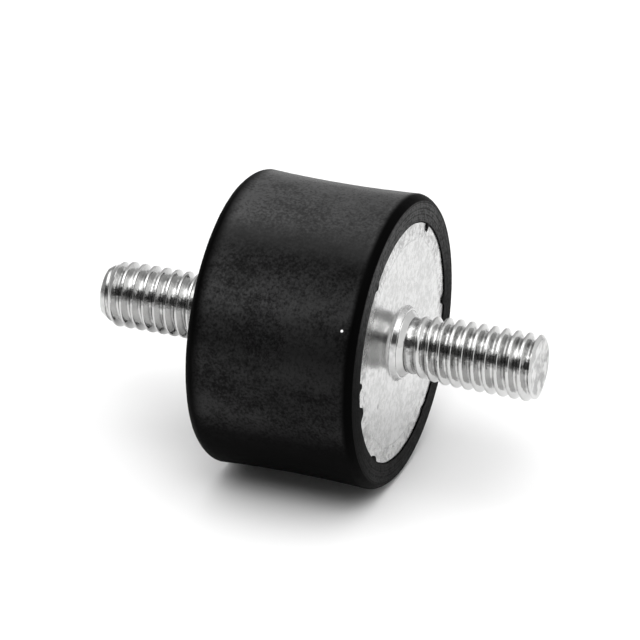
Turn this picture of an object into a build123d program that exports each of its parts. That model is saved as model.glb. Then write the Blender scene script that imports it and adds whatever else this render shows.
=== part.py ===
from build123d import *
import os

# Bobbin vibration mount with a threaded stud at each end. A rubber cylinder is moulded and
# bonded round two steel end plates, and a headed stud is pressed through each plate.
# Millimetres. The studs lie along X, +Z is up, and the origin is the centre of the rubber.

# Rubber element
RUBBER_DIAMETER = 35.0
RUBBER_LENGTH = 20.4
WAIST_DEPTH = 0.28  # how far the side draws in at mid length
RIM_RUN = 1.05  # length of the rounded rim along the axis
RIM_DROP = 0.65  # height of the rounded rim across the end face
RIM_CROWN = 0.1  # how far the rim bulges between its two edges

# End plates
PLATE_DIAMETER = 28.4
PLATE_THICKNESS = 2.0
PLATE_RECESS = 0.12  # the rubber lip stands this far proud of the steel
PLATE_EDGE_BREAK = 0.2  # the press draws the plate's outer edge down this far
COLLAR_HEIGHT = 0.65
COLLAR_ROOT_WALL = 0.53
COLLAR_MOUTH_WALL = 0.18

# Studs, cut for a 5/16-18 UNC thread
THREAD_DIAMETER = 7.94
STUD_REACH = 16.8  # from the rubber's end face to the tip
TIP_CHAMFER = 0.8
RELIEF_DEPTH = 0.67  # groove between the neck and the thread
RELIEF_WIDTH = 0.3
HEAD_DIAMETER = 13.0
HEAD_THICKNESS = 1.6
UNDERHEAD_CONE = 0.5

# Fits
BOND_CLEARANCE = 0.0  # the rubber is moulded straight on to the steel
PRESS_CLEARANCE = 0.0  # the neck is pressed into the collar

# Places along the axis, on the front half
rubber_end = RUBBER_LENGTH / 2
plate_face = rubber_end - PLATE_RECESS
plate_back = plate_face - PLATE_THICKNESS
head_back = plate_back - HEAD_THICKNESS
stud_tip = rubber_end + STUD_REACH

# Radii that more than one piece uses
stud_radius = THREAD_DIAMETER / 2
bore_radius = stud_radius + PRESS_CLEARANCE
plate_pocket_radius = PLATE_DIAMETER / 2 + BOND_CLEARANCE
head_pocket_radius = HEAD_DIAMETER / 2 + BOND_CLEARANCE


def turned(outline):
    """Solid of revolution about X from an outline of (place along the axis, radius)."""
    return revolve(make_face(outline), axis=Axis.X)


def rubber_element():
    """Waisted cylinder, with a stepped pocket in each end for the plate and the stud's head."""
    side_end = rubber_end - RIM_RUN
    side_radius = RUBBER_DIAMETER / 2
    waist = ThreePointArc((-side_end, side_radius), (0, side_radius - WAIST_DEPTH), (side_end, side_radius))
    rim = SagittaArc(waist @ 1, (rubber_end, side_radius - RIM_DROP), RIM_CROWN)
    pocket = Polyline(
        rim @ 1,
        (rubber_end, plate_pocket_radius),
        (plate_back - BOND_CLEARANCE, plate_pocket_radius),
        (plate_back - BOND_CLEARANCE, head_pocket_radius),
        (head_back - BOND_CLEARANCE, head_pocket_radius),
        (head_back - BOND_CLEARANCE, 0),
    )
    front = rim + pocket
    rear = mirror(front, about=Plane.YZ)
    core = Line(pocket @ 1, mirror(pocket, about=Plane.YZ) @ 1)
    return turned(waist + front + rear + core)


def end_plate():
    """Pressed disc with a broken outer edge and a collar drawn up round the pierced hole."""
    outline = Polyline(
        (plate_back, PLATE_DIAMETER / 2),
        (plate_back, bore_radius + UNDERHEAD_CONE),
        (plate_back + UNDERHEAD_CONE, bore_radius),
        (plate_face + COLLAR_HEIGHT, bore_radius),
        (plate_face + COLLAR_HEIGHT, bore_radius + COLLAR_MOUTH_WALL),
        (plate_face, bore_radius + COLLAR_ROOT_WALL),
        (plate_face, PLATE_DIAMETER / 2 - PLATE_EDGE_BREAK),
        (plate_face - PLATE_EDGE_BREAK, PLATE_DIAMETER / 2),
        close=True,
    )
    return turned(outline)


def stud():
    """Headed stud: flat head, cone and neck held by the plate, relief groove, thread and tip."""
    relief_radius = stud_radius - RELIEF_DEPTH
    neck_end = plate_face + COLLAR_HEIGHT
    relief_start = neck_end + RELIEF_DEPTH
    relief_end = relief_start + RELIEF_WIDTH
    outline = Polyline(
        (head_back, 0),
        (head_back, HEAD_DIAMETER / 2),
        (plate_back, HEAD_DIAMETER / 2),
        (plate_back, stud_radius + UNDERHEAD_CONE),
        (plate_back + UNDERHEAD_CONE, stud_radius),
        (neck_end, stud_radius),
        (relief_start, relief_radius),
        (relief_end, relief_radius),
        (relief_end + RELIEF_DEPTH, stud_radius),
        (stud_tip - TIP_CHAMFER, stud_radius),
        (stud_tip, stud_radius - TIP_CHAMFER),
        (stud_tip, 0),
        close=True,
    )
    return turned(outline)


def at_rear_end(piece):
    """The same piece half a turn round Z, so that a thread keeps its hand."""
    return Rot(0, 0, 180) * piece


front_plate = end_plate()
front_stud = stud()
pieces = {
    "rubber_element": rubber_element(),
    "front_plate": front_plate,
    "rear_plate": at_rear_end(front_plate),
    "front_stud": front_stud,
    "rear_stud": at_rear_end(front_stud),
}

os.makedirs("parts", exist_ok=True)
for name, piece in pieces.items():
    export_step(piece, f"parts/{name}.step")
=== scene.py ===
from math import cos, degrees, exp, pi, radians, sin, tan

import bmesh
import bpy
from mathutils import Matrix, Vector
from mathutils import noise as field


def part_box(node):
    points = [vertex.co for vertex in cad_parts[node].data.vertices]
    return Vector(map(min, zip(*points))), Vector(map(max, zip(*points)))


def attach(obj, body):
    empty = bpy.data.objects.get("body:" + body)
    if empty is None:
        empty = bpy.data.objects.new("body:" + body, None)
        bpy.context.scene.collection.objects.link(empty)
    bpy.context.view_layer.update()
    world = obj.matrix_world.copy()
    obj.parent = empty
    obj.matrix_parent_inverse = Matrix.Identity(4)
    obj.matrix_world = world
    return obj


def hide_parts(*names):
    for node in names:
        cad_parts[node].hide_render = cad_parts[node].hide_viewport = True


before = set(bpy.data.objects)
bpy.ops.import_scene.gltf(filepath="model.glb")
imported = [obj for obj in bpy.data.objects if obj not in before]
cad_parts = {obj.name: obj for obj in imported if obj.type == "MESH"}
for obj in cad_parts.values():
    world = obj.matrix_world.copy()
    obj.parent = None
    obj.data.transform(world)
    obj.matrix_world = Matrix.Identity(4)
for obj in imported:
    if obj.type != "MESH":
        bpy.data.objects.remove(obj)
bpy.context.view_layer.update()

# ---------------------------------------------------------------------------------- end plates
# Two discs pressed from steel sheet and bright zinc plated. The press leaves a rolled outer edge
# and draws a low collar up round the hole. The rubber is moulded and bonded round each disc.

mm = 0.001
plate_low, plate_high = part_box("front_plate")
plate_radius = plate_high.y
plate_back = plate_low.x
collar_height = 0.65 * mm
collar_mouth = 4.15 * mm
collar_root = 4.5 * mm
bore_radius = 3.97 * mm
bore_cone = 0.5 * mm
plate_face = plate_high.x - collar_height
die_roll_start = 12.2 * mm  # from this radius out, the shear has drawn the face down a little
die_roll_drop = 0.02 * mm
rolled_edge = 0.05 * mm
nick_place = Vector((plate_face, -8 * mm, -4.5 * mm))  # a short upright nick, on the front plate only


def rounded(corners, steps=6):
    """Outline of a turned section, from corners of (place along the axis, radius, rounding)."""
    outline = []
    for before, corner, after in zip(corners[-1:] + corners[:-1], corners, corners[1:] + corners[:1]):
        spot = Vector(corner[:2])
        if not corner[2]:
            outline.append(spot)
            continue
        start = spot + (Vector(before[:2]) - spot).normalized() * corner[2]
        end = spot + (Vector(after[:2]) - spot).normalized() * corner[2]
        for step in range(steps + 1):
            along = step / steps
            outline.append(start.lerp(spot, along).lerp(spot.lerp(end, along), along))
    return outline


def turned(outline, segments=256, form=None):
    """Points and faces of a section turned about X. A form gives each point its own place and radius."""
    points, faces, rings = [], [], []
    for x, radius in outline:
        if radius == 0:  # a point on the axis is one vertex
            rings.append([len(points)] * segments)
            points.append((x, 0, 0))
            continue
        rings.append(range(len(points), len(points) + segments))
        for segment in range(segments):
            angle = 2 * pi * segment / segments
            place, reach = form(x, radius, angle) if form else (x, radius)
            points.append((place, reach * cos(angle), reach * sin(angle)))
    if outline[0][1] and outline[-1][1]:
        rings.append(rings[0])
    for ring, after in zip(rings, rings[1:]):
        for segment in range(segments):
            beside = (segment + 1) % segments
            loop = [ring[segment], ring[beside], after[beside], after[segment]]
            face = list(dict.fromkeys(loop))
            if len(face) > 2:
                faces.append(face)
    return points, faces


def add_piece(name, points, faces, material, node, rear=False, crease=35):
    """One piece in place of its plain node. The rear pieces stand half a turn round Z."""
    mesh = bpy.data.meshes.new(name)
    work = bmesh.new()
    vertices = [work.verts.new(point) for point in points]
    for face in faces:
        work.faces.new([vertices[index] for index in face])
    bmesh.ops.remove_doubles(work, verts=work.verts, dist=1e-7)
    bmesh.ops.dissolve_degenerate(work, edges=work.edges, dist=1e-7)
    bmesh.ops.recalc_face_normals(work, faces=work.faces)
    work.to_mesh(mesh)
    work.free()
    if rear:
        mesh.transform(Matrix.Rotation(pi, 4, "Z"))
    mesh.shade_smooth()
    mesh.set_sharp_from_angle(angle=radians(crease))
    mesh.materials.append(material)
    piece = bpy.data.objects.new(name, mesh)
    bpy.context.scene.collection.objects.link(piece)
    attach(piece, "root")
    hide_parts(node)


class Wire:
    """A shader socket. An expression on values adds its Math nodes, one on vectors its Vector Math."""

    def __init__(self, tree, socket):
        self.tree = tree
        self.socket = socket

    def node(self, kind, inputs, out=0, stops=(), **settings):
        """Add a node: first its settings and ramp stops, then the values or links of its sockets."""
        made = self.tree.nodes.new("ShaderNode" + kind)
        for setting, value in settings.items():
            setattr(made, setting, value)
        for index, (spot, colour) in enumerate(stops):
            ramp = made.color_ramp.elements
            stop = ramp[index] if index < len(ramp) else ramp.new(spot)
            stop.position = spot
            stop.color = colour
        for name, value in inputs.items():
            if isinstance(value, Wire):
                self.tree.links.new(value.socket, made.inputs[name])
            else:
                made.inputs[name].default_value = value
        return Wire(self.tree, made.outputs[out])

    def operator(self, operation, first, second):
        """The node behind an operator: this wire is first or second, and the other may be a number."""
        kind = "Math" if self.socket.type == "VALUE" else "VectorMath"
        return self.node(kind, {0: first, 1: second}, operation=operation)

    def __add__(self, other):
        return self.operator("ADD", self, other)

    def __radd__(self, other):
        return self.operator("ADD", other, self)

    def __sub__(self, other):
        return self.operator("SUBTRACT", self, other)

    def __rsub__(self, other):
        return self.operator("SUBTRACT", other, self)

    def __mul__(self, other):
        return self.operator("MULTIPLY", self, other)

    def __rmul__(self, other):
        return self.operator("MULTIPLY", other, self)

    def __truediv__(self, other):
        return self.operator("DIVIDE", self, other)

    def absolute(self):
        """This value without its sign."""
        return self.node("Math", {0: self}, operation="ABSOLUTE")

    def part(self, axis):
        """One of the three values of this place."""
        return self.node("SeparateXYZ", {"Vector": self}, out=axis)

    def length(self):
        """Length of this vector."""
        return self.node("VectorMath", {0: self}, out="Value", operation="LENGTH")

    def radius(self):
        """Distance of this place from the studs' axis."""
        return (self * Vector((0, 1, 1))).length()

    def step(self, low, high):
        """0 below low, 1 above high, with a soft rise between them."""
        inputs = {"Value": self, "From Min": low, "From Max": high}
        return self.node("MapRange", inputs, interpolation_type="SMOOTHSTEP")

    def mix(self, low, high):
        """Colour that goes from low to high with this mask."""
        return self.node("Mix", {"Factor": self, "A": low, "B": high}, out=2, data_type="RGBA")

    def noise(self, size, detail=3.0, roughness=0.5, stretch=(1, 1, 1)):
        """Cloudy value over this place, with patches about size across."""
        place = self.node("Mapping", {"Vector": self, "Scale": stretch})
        inputs = {"Vector": place, "Scale": 1 / size, "Detail": detail, "Roughness": roughness}
        return place.node("TexNoise", inputs)

    def bump(self, strength, distance):
        """Normal of a surface that stands up to distance high with this height."""
        return self.node("Bump", {"Height": self, "Strength": strength, "Distance": distance})


def new_surface(name):
    """A fresh material, and the place on its piece."""
    material = bpy.data.materials.new(name)
    material.use_nodes = True
    tree = material.node_tree
    tree.nodes.clear()
    return material, Wire(tree, tree.nodes.new("ShaderNodeTexCoord").outputs["Object"])


def finish_surface(place, **values):
    """Ends a material in one Principled shader."""
    shader = place.node("BsdfPrincipled", {name.replace("_", " "): value for name, value in values.items()})
    output = place.tree.nodes.new("ShaderNodeOutputMaterial")
    place.tree.links.new(shader.socket, output.inputs["Surface"])


plate_zinc, place = new_surface("plate_zinc")
dull_zinc = (0.34, 0.34, 0.338, 1)
bright_zinc = (0.64, 0.64, 0.637, 1)
grime = (0.02, 0.02, 0.02, 1)
radius = place.radius()
clouds = place.noise(3.5 * mm)
mottle = place.noise(0.55 * mm, detail=2.0, roughness=0.6)
grain = place.noise(0.14 * mm, detail=1.0)
in_die_roll = radius.step(die_roll_start - 0.1 * mm, die_roll_start + 0.4 * mm)
ring_line = 1 - (radius - die_roll_start).absolute().step(0.03 * mm, 0.16 * mm)
ring_mark = ring_line * clouds.step(0.42, 0.56)
from_nick = (place - nick_place) * Vector((1, 1, 0.35))  # drawn out along Z
nick = 1 - from_nick.length().step(0.09 * mm, 0.16 * mm)
clean = (mottle * 0.6 + clouds * 0.4).step(0.38, 0.6)
bright = 1 - (1 - clean) * (0.5 + 0.5 * in_die_roll) - ring_mark * 0.6
height = grain * 0.3 + mottle * (0.3 + 0.6 * in_die_roll) - ring_mark - nick
finish_surface(
    place,
    Base_Color=nick.mix(bright.mix(dull_zinc, bright_zinc), grime),
    Metallic=1.0,
    Roughness=0.15 + (1 - clean) * 0.1 + in_die_roll * 0.08,
    Normal=height.bump(0.3, 0.02 * mm),
)

plate_outline = rounded(
    [
        (plate_back, plate_radius, 0.2 * mm),
        (plate_face - die_roll_drop, plate_radius, rolled_edge),
        (plate_face, die_roll_start, 0.5 * mm),
        (plate_face, collar_root, 0.12 * mm),
        (plate_face + collar_height, collar_mouth, 0.06 * mm),
        (plate_face + collar_height, bore_radius, 0),
        (plate_back + bore_cone, bore_radius, 0),
        (plate_back, bore_radius + bore_cone, 0),
    ]
)
for end in ("front", "rear"):
    points, faces = turned(plate_outline)
    is_rear = end == "rear"
    add_piece(f"{end}_end_plate", points, faces, plate_zinc, f"{end}_plate", rear=is_rear)

# --------------------------------------------------------------------------------------- studs
# Two steel studs with a 5/16-18 UNC thread rolled on them, bright zinc plated like the plates. A
# flat head lies behind the plate, the neck is pressed into its collar, and the thread runs out
# into a groove above the collar at one end and is cut by the chamfer at the tip.

stud_low, stud_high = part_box("front_stud")
head_radius = stud_high.y
head_back = stud_low.x
stud_tip = stud_high.x
crest_radius = 3.97 * mm
thread_pitch = 25.4 * mm / 18
crest_half = 0.095  # half of the crest's width, in pitches
root_half = 0.09  # half of the root's width, in pitches
thread_depth = (0.5 - crest_half - root_half) * thread_pitch / tan(radians(30))
groove_radius = 3.3 * mm
neck_end = plate_high.x
groove_start = neck_end + crest_radius - groove_radius
thread_start = groove_start + 0.12 * mm
run_out = 6.5 * mm  # the crests rise to their full height over this length
tips = {"front": (3.55 * mm, 1.0), "rear": (3.0 * mm, 0.55)}  # radius of the end, slope of its chamfer
leans = {"front": -0.24 * mm, "rear": 0}  # how far a stud has been knocked down at its tip
thread_starts = {"front": 0.48, "rear": 0.19}  # where the helix begins, in turns
tip_dish = 0.12 * mm  # the end is left slightly hollow by the thread rolls
turn_segments = 96
row_places = (0, 0.075, 0.115, 0.15, 0.185, 0.24, 0.3, 0.355, 0.405, 0.44, 0.475)  # in pitches from the crest
row_phases = sorted([-place for place in row_places[1:]] + list(row_places) + [0.5])


def soft_ramp(value, softness=0.12):
    """value where it is over 0 and 0 below, with a rounded corner."""
    if value < -softness:
        return 0
    return value if value > softness else (value + softness) ** 2 / (4 * softness)


def thread_form(phase):
    """Share of the thread's depth at a place in its pitch: 1 on the crest, 0 in the rounded root."""
    away = abs((phase + 0.5) % 1 - 0.5)  # from the crest's middle, in pitches
    flank = (0.5 - root_half - away) / (0.5 - root_half - crest_half)
    return 1 - soft_ramp(1 - soft_ramp(flank))


def thread_radius(x, phase, end):
    """Radius of the threaded length: root, run-out next to the groove, and the chamfer at the tip."""
    unformed = 1 - min(max((x - thread_start) / run_out, 0), 1)
    crest = crest_radius - (crest_radius - groove_radius) * unformed**2.5
    root = min(crest_radius - thread_depth, crest)
    tip_radius, slope = tips[end]
    return min(root + (crest - root) * thread_form(phase), tip_radius + slope * (stud_tip - x))


def threaded_stud(end, start_turn):
    """Points and faces of a stud. The thread's rows follow its helix, so every crest is clean."""
    points, faces, threaded = [], [], []
    turns = int((stud_tip - thread_start) / thread_pitch) + 3
    rows = [turn + phase - start_turn for turn in range(-2, turns + 1) for phase in row_phases]
    for row in rows:
        ring = []
        for segment in range(turn_segments):
            share = segment / turn_segments
            x = thread_start + (row + share) * thread_pitch
            x = min(max(x, thread_start), stud_tip)
            phase = (x - thread_start) / thread_pitch - share + start_turn
            reach = thread_radius(x, phase, end)
            lean = leans[end] * (x - thread_start) / (stud_tip - thread_start)
            ring.append(len(points))
            points.append((x, reach * cos(2 * pi * share), reach * sin(2 * pi * share) + lean))
        threaded.append(ring)
    last = turn_segments - 1
    for row, (ring, after) in enumerate(zip(threaded, threaded[1:])):
        for segment in range(last):
            faces.append([ring[segment], ring[segment + 1], after[segment + 1], after[segment]])
        if row + 1 + len(row_phases) < len(rows):
            joined = threaded[row + len(row_phases)][0], threaded[row + 1 + len(row_phases)][0]
            faces.append([ring[last], joined[0], joined[1], after[last]])
    return points, faces, threaded


def stud_rings(points, faces, ring, outline, lean=0):
    """Carries a stud on from a ring of its vertices, through outline, to the axis."""
    for x, radius in outline:
        if radius == 0:
            centre = len(points)
            points.append((x, 0, lean))
            for segment in range(turn_segments):
                faces.append([ring[segment], ring[(segment + 1) % turn_segments], centre])
            return
        after = []
        for segment in range(turn_segments):
            angle = 2 * pi * segment / turn_segments
            after.append(len(points))
            points.append((x, radius * cos(angle), radius * sin(angle) + lean))
        for segment in range(turn_segments):
            beside = (segment + 1) % turn_segments
            faces.append([ring[segment], ring[beside], after[beside], after[segment]])
        ring = after


stud_zinc, place = new_surface("stud_zinc")
clean_zinc = (0.64, 0.64, 0.635, 1)
dark_zinc = (0.2, 0.2, 0.198, 1)
clouds = place.noise(1.2 * mm)
grain = place.noise(0.12 * mm, detail=2.0)
ripple = place.noise(0.35 * mm, detail=2.0)
in_root = 1 - place.radius().step(crest_radius - thread_depth, crest_radius - 0.7 * thread_depth)
# Darker and rougher in patches in the thread roots.
dark_root_patches = in_root * clouds.step(0.4, 0.6)
height = grain * 0.35 + ripple
finish_surface(
    place,
    Base_Color=(clouds * 0.35 + dark_root_patches * 0.6).mix(clean_zinc, dark_zinc),
    Metallic=1.0,
    Roughness=0.04 + clouds * 0.05 + grain * 0.03 + dark_root_patches * 0.12,
    Normal=height.bump(0.5, 0.04 * mm),
)

for end in ("front", "rear"):
    points, faces, threaded = threaded_stud(end, thread_starts[end])
    root_outline = rounded(
        [
            (groove_start, groove_radius, 0.1 * mm),
            (neck_end, crest_radius, 0.1 * mm),
            (plate_back + bore_cone, crest_radius, 0),
            (plate_back, crest_radius + bore_cone, 0),
            (plate_back, head_radius, 0.1 * mm),
            (head_back, head_radius, 0.3 * mm),
            (head_back, 0, 0),
        ]
    )
    inner_radius = 0.86 * tips[end][0]
    dish_floor = stud_tip - tip_dish
    tip_outline = [(stud_tip, inner_radius), (dish_floor, 0.6 * inner_radius), (dish_floor, 0)]
    stud_rings(points, faces, threaded[0], root_outline)
    stud_rings(points, faces, threaded[-1], tip_outline, lean=leans[end])
    is_rear = end == "rear"
    add_piece(f"{end}_threaded_stud", points, faces, stud_zinc, f"{end}_stud", rear=is_rear)

# -------------------------------------------------------------------------------------- rubber
# One block of black natural rubber, moulded straight on to the plates and the stud heads. Its
# side is drawn in a little at mid length, its rims are rounded, and a lip stands round each
# plate, with bits of flash left on the lip's edge. A dusty bloom lies on the side in patches,
# and light and shade are painted over it in bands round the axis. The end rings are painted
# darker towards the bottom and towards the front side (-Y), as shade.

rubber_low, rubber_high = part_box("rubber_element")
rubber_end = rubber_high.x
rubber_radius = 17.5 * mm
waist_depth = 0.28 * mm
rim_run = 1.05 * mm
rim_drop = 0.65 * mm
rim_sag = 0.2  # 0 would make the rim's curve a plain parabola, and more makes it start out steeper
rim_wobble = 0.02 * mm  # how far the mould's wear puts the rim out of true
lip_raggedness = 0.05 * mm  # how far the lip's edge strays over the plate
lip_rounding = 0.12 * mm
side_end = rubber_end - rim_run
flash_tabs = (  # angle round the axis and half width in degrees, then the reach over the plate
    (127.5, 1.8, 0.45 * mm),
    (55.0, 1.5, 0.95 * mm),
    (-3.5, 2.4, 0.85 * mm),
    (176.0, 1.8, 0.75 * mm),
    (190.5, 3.2, 0.95 * mm),
    (229.0, 2.8, 0.4 * mm),
    (300.0, 2.0, 0.25 * mm),
)


def half_outline():
    """Outline of the rubber's front half, from mid length round the rim to the pocket's floor."""
    outline = []
    side_steps, rim_steps = 12, 8
    for step in range(side_steps + 1):
        x = side_end * step / side_steps
        outline.append((x, rubber_radius - waist_depth * (1 - (x / side_end) ** 2)))
    for step in range(1, rim_steps + 1):
        along = step / rim_steps
        drop = rim_drop * (along**2 + rim_sag * along * (1 - along))
        outline.append((side_end + along * rim_run, rubber_radius - drop))
    corners = [
        (rubber_end, rubber_radius - rim_drop, 0),
        (rubber_end, plate_radius, lip_rounding),
        (plate_back, plate_radius, 0),
        (plate_back, head_radius, 0),
        (head_back, head_radius, 0),
        (head_back, 0, 0),
    ]
    return outline + [tuple(spot) for spot in rounded(corners)[1:]]


def moulded(x, radius, angle):
    """Small faults of the moulding: flash over the plate and a rim that is not quite true."""
    reach = radius
    if abs(x) > rubber_end - 0.6 * lip_rounding and abs(radius - plate_radius) < 2 * lip_rounding:
        for middle, width, tab in flash_tabs:
            turn = degrees(angle) if x > 0 else -degrees(angle) + 70
            away = ((turn - middle + 180) % 360 - 180) / width
            reach -= tab * exp(-(away**4))
        spot = Vector((x / mm, 9 * cos(angle), 9 * sin(angle)))
        reach -= lip_raggedness * (0.4 + field.noise(spot))
    elif radius > plate_radius + lip_rounding:
        spot = Vector((x / mm, 12 * cos(angle), 12 * sin(angle)))
        reach += rim_wobble * (field.noise(spot) + 0.6 * field.noise(spot * 3) - 1.5)
    return x, reach


painted_light_bands = (  # light and shade painted round the side, from its bottom at 0, past mid height at 0.5, to its top at 1: how pale it is
    (0.25, 0.02),
    (0.31, 0.04),
    (0.37, 0.12),
    (0.43, 0.64),
    (0.5, 0.5),
    (0.54, 0.54),
    (0.6, 0.27),
    (0.645, 0.42),
    (0.69, 0.85),
    (0.73, 0.75),
    (0.785, 0.48),
    (0.84, 0.2),
    (0.87, 0.64),
    (0.91, 1.2),
)
painted_light_stops = [(spot, (pale, pale, pale, 1)) for spot, pale in painted_light_bands]
black_rubber = (0.001, 0.001, 0.001, 1)  # the rims, near black with no bloom; the side's bands of painted shade also run down to it
# the side's palest colour, where full bloom meets the most painted light
bloom_and_painted_light_rubber = (0.043, 0.043, 0.0434, 1)
dark_end = (0.002, 0.002, 0.002, 1)
# the palest end colour, where scrub marks meet the most painted light
scrubbed_and_painted_light_end = (0.085, 0.085, 0.085, 1)
pale_dust = (0.8, 0.8, 0.8, 1)
speck_place = Vector((8.36 * mm, -15.22 * mm, 8.47 * mm))

rubber, place = new_surface("moulded_rubber")
along = place.part("X")
inward = place.part("Y")
up = place.part("Z")
radius = place.radius()
clouds = place.noise(6 * mm, detail=4.0, roughness=0.6, stretch=(0.7, 1, 1))
mottle = place.noise(1.1 * mm, detail=4.0, roughness=0.65)
grain = place.noise(0.35 * mm, detail=2.0, roughness=0.7)
rings = {"W": radius, "Scale": 1 / (0.25 * mm), "Detail": 2.0}
tool_marks = radius.node("TexNoise", rings, noise_dimensions="1D")

on_side = (rubber_end - along).step(0.65 * rim_run, 1.35 * rim_run)
on_side = on_side * (rubber_end + along).step(0.6 * rim_run, 2.2 * rim_run)
# The side is painted lighter and darker in bands by its slope round the axis, as light and reflections fall
# on it, and darker towards the front end; the bloom's patches lie over these bands.
slope = up.node("Math", {0: up, 1: inward.absolute()}, operation="ARCTAN2")
painted_light_ramp = slope.node("ValToRGB", {"Fac": slope / pi + 0.5}, stops=painted_light_stops)
bloom = (clouds * 0.35 + mottle * 0.2 + grain * 0.45).step(0.38, 0.62)
fade = 1.1 - 0.4 * along.step(-9 * mm, 10 * mm)
side_colour = ((0.2 + 0.8 * bloom) * painted_light_ramp * fade).mix(black_rubber, bloom_and_painted_light_rubber)

on_end = (rubber_radius - radius).step(rim_drop + 0.03 * mm, rim_drop + 0.2 * mm)
on_end = on_end * (1 - (rubber_end - along.absolute()).step(0.01 * mm, 0.08 * mm))
on_end = on_end * radius.step(plate_radius + 0.05 * mm, plate_radius + 0.25 * mm)
scrubbed = (tool_marks * 0.35 + mottle * 0.25 + grain * 0.4).step(0.42, 0.58)
# The end rings are painted darker towards the bottom and towards the front side (-Y), as shade; the scrub
# marks lie over that.
painted_shade_low = 0.3 + 0.7 * up.step(-2 * mm, 15 * mm)
painted_shade_front = 0.25 + 0.75 * inward.step(-17 * mm, -9 * mm)
end_colour = ((0.3 + 0.7 * scrubbed) * painted_shade_low * painted_shade_front).mix(dark_end, scrubbed_and_painted_light_end)

speck = 1 - (place - speck_place).length().step(0.1 * mm, 0.2 * mm)
height = mottle * 0.4 + grain * 0.6 + scrubbed * on_end * 0.6
finish_surface(
    place,
    Base_Color=speck.mix(on_end.mix(on_side.mix(black_rubber, side_colour), end_colour), pale_dust),
    Roughness=0.42 + on_side * 0.16 + on_end * 0.25 + bloom * 0.1,
    Specular_IOR_Level=0.01,
    Coat_Weight=on_side * up.step(13.5 * mm, 16.8 * mm) * 0.4,
    Coat_Roughness=0.22,
    Normal=height.bump(0.6, 0.05 * mm),
)

front_half = half_outline()
rear_half = [(-x, radius) for x, radius in reversed(front_half[1:])]
points, faces = turned(rear_half + front_half, segments=360, form=moulded)
add_piece("moulded_rubber_element", points, faces, rubber, "rubber_element", crease=40)

# ----------------------------------------------------------------------------- floor and lights
# A plain pale studio floor that the rubber lies on. A pale room and two broad panels light it
# softly. The room is brightest overhead, and dark on its front side, which the studs mirror as a
# black band.

floor_material, place = new_surface("pale_floor")
finish_surface(place, Base_Color=(0.79, 0.79, 0.79, 1), Roughness=0.6)
floor_mesh = bpy.data.meshes.new("studio_floor")
floor_reach = 3.0
corners = [(-1, -1), (1, -1), (1, 1), (-1, 1)]
floor_points = [(x * floor_reach, y * floor_reach, rubber_low.z) for x, y in corners]
floor_mesh.from_pydata(floor_points, [], [(0, 1, 2, 3)])
floor_mesh.materials.append(floor_material)
floor = bpy.data.objects.new("studio_floor", floor_mesh)
bpy.context.scene.collection.objects.link(floor)


def add_panel(name, place, aim, size, power, mirrored=True):
    """A soft rectangular light. Polished metal shows it only if it is mirrored."""
    lamp = bpy.data.lights.new(name, "AREA")
    lamp.shape = "RECTANGLE"
    lamp.size = size[0]
    lamp.size_y = size[1]
    lamp.energy = power
    panel = bpy.data.objects.new(name, lamp)
    panel.location = place
    panel.rotation_euler = (Vector(aim) - Vector(place)).to_track_quat("-Z", "Y").to_euler()
    panel.visible_glossy = mirrored
    bpy.context.scene.collection.objects.link(panel)


add_panel("overhead_panel", (0, -0.15, 0.42), (0, -0.15, 0), (0.5, 0.4), 0.5)
add_panel("front_fill", (0.12, -0.28, 0.4), (0, -0.02, 0), (0.3, 0.2), 0.9, mirrored=False)

world = bpy.data.worlds.new("studio")
world.use_nodes = True
tree = world.node_tree
away = Wire(tree, tree.nodes.new("ShaderNodeTexCoord").outputs["Generated"])
sideways = away.part("X")
forward = 0 - away.part("Y")
skyward = away.part("Z")
turn = sideways.node("Math", {0: sideways, 1: forward}, operation="ARCTAN2")
dark_turn = turn.step(-0.87, -0.78) * (1 - turn.step(1.0, 1.25))  # radians from straight in front
dark_height = skyward.step(0.12, 0.28) * (1 - skyward.step(0.8, 0.9))  # sines of the angle above the floor
overhead = (skyward + forward * 0.45).step(0.5, 1.0)
light = (0.75 + 1.9 * overhead) * (1 + 0.42 * sideways) * (1 - 0.97 * dark_turn * dark_height)
background = tree.nodes["Background"]
background.inputs["Color"].default_value = (1, 1, 1, 1)
tree.links.new(light.socket, background.inputs["Strength"])
bpy.context.scene.world = world
bpy.context.scene.view_settings.view_transform = "Standard"

# -------------------------------------------------------------------------------------- camera
# A long lens, above the mount and round towards its front end. It is aimed 1 mm above the
# mount's centre, so that the mount stands slightly low in the view.

azimuth = radians(21.2)
elevation = radians(27.0)
distance = 0.506
view_width = 74.94 * mm  # what the view spans at the mount
sight = Vector((sin(azimuth) * cos(elevation), -cos(azimuth) * cos(elevation), sin(elevation)))
right = Vector((cos(azimuth), sin(azimuth), 0))
upward = sight.cross(right)
aim = -0.17 * mm * right + 0.99 * mm * upward
lens = bpy.data.cameras.new("camera")
lens.sensor_width = 36
lens.lens = lens.sensor_width * distance / view_width
lens.clip_start = 0.01
camera = bpy.data.objects.new("camera", lens)
camera.location = aim + sight * distance
camera.rotation_euler = (-sight).to_track_quat("-Z", "Y").to_euler()
bpy.context.scene.collection.objects.link(camera)
bpy.context.scene.camera = camera
